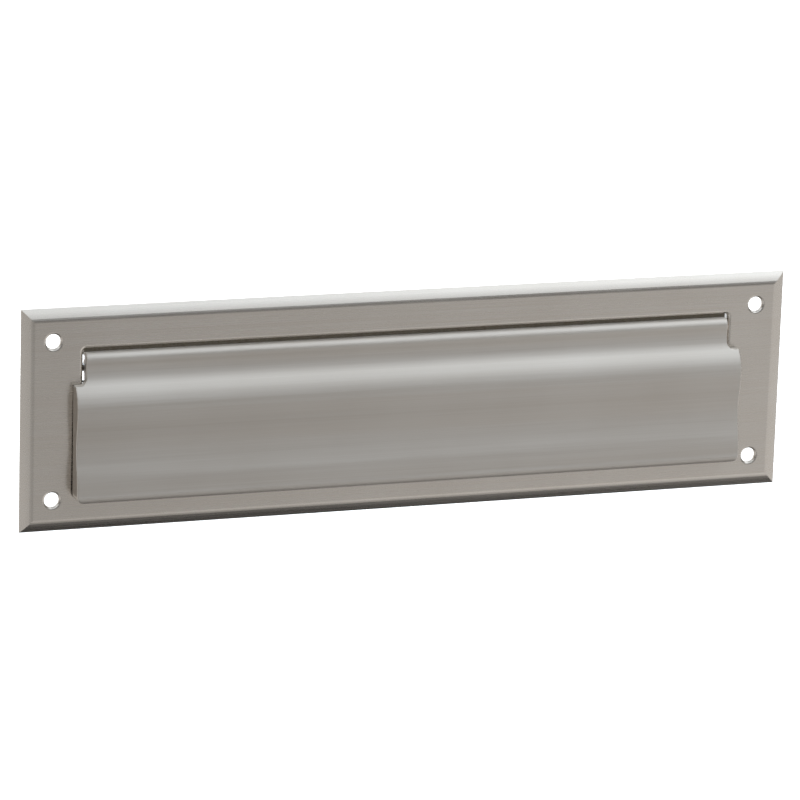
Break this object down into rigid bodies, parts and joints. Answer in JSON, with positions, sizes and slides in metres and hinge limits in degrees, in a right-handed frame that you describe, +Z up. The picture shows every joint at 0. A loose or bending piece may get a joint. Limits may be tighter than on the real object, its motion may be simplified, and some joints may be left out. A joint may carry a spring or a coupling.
{
  "type": "letter plate",
  "caption": "Bevelled rectangular door letter plate with a T-shaped moulded flap that lifts outwards on a sprung hinge rod behind the plate.",
  "frame": {"origin": "centre of the four corner screw holes, on the back plane that lies on the door", "axes": "+X to the right seen from the street, +Z up, +Y through the door towards the house; the street side faces -Y"},
  "size_m": [0.3302, 0.0188, 0.0922],
  "materials": {
    "satin_nickel": "satin nickel plate on brass, brushed along its length",
    "bright_steel": "drawn steel rod",
    "zinc_steel": "zinc-plated pressed steel",
    "screw_steel": "zinc-plated screw",
    "spring_steel": "oiled spring steel",
    "black_rubber": "matt rubber"
  },
  "bodies": {
    "plate": {"front_plate": "satin_nickel", "hinge_rod": "bright_steel", "left_hinge_bracket": "zinc_steel", "right_hinge_bracket": "zinc_steel", "left_bracket_screws": "screw_steel", "right_bracket_screws": "screw_steel", "left_retaining_clip": "spring_steel", "right_retaining_clip": "spring_steel", "left_torsion_spring": "spring_steel", "right_torsion_spring": "spring_steel"},
    "flap": {"flap": "satin_nickel", "left_bumper": "black_rubber", "right_bumper": "black_rubber"}
  },
  "joints": [
    {"name": "flap_lift", "type": "hinge", "parent": "plate", "child": "flap", "pos_m": [0, 0.0025, 0.0204], "axis": [-1, 0, 0], "range_deg": [0, 85], "stiffness_Nm_per_rad": 0.05, "springref_deg": -51.57, "deforming": ["left_torsion_spring", "right_torsion_spring"]}
  ]
}
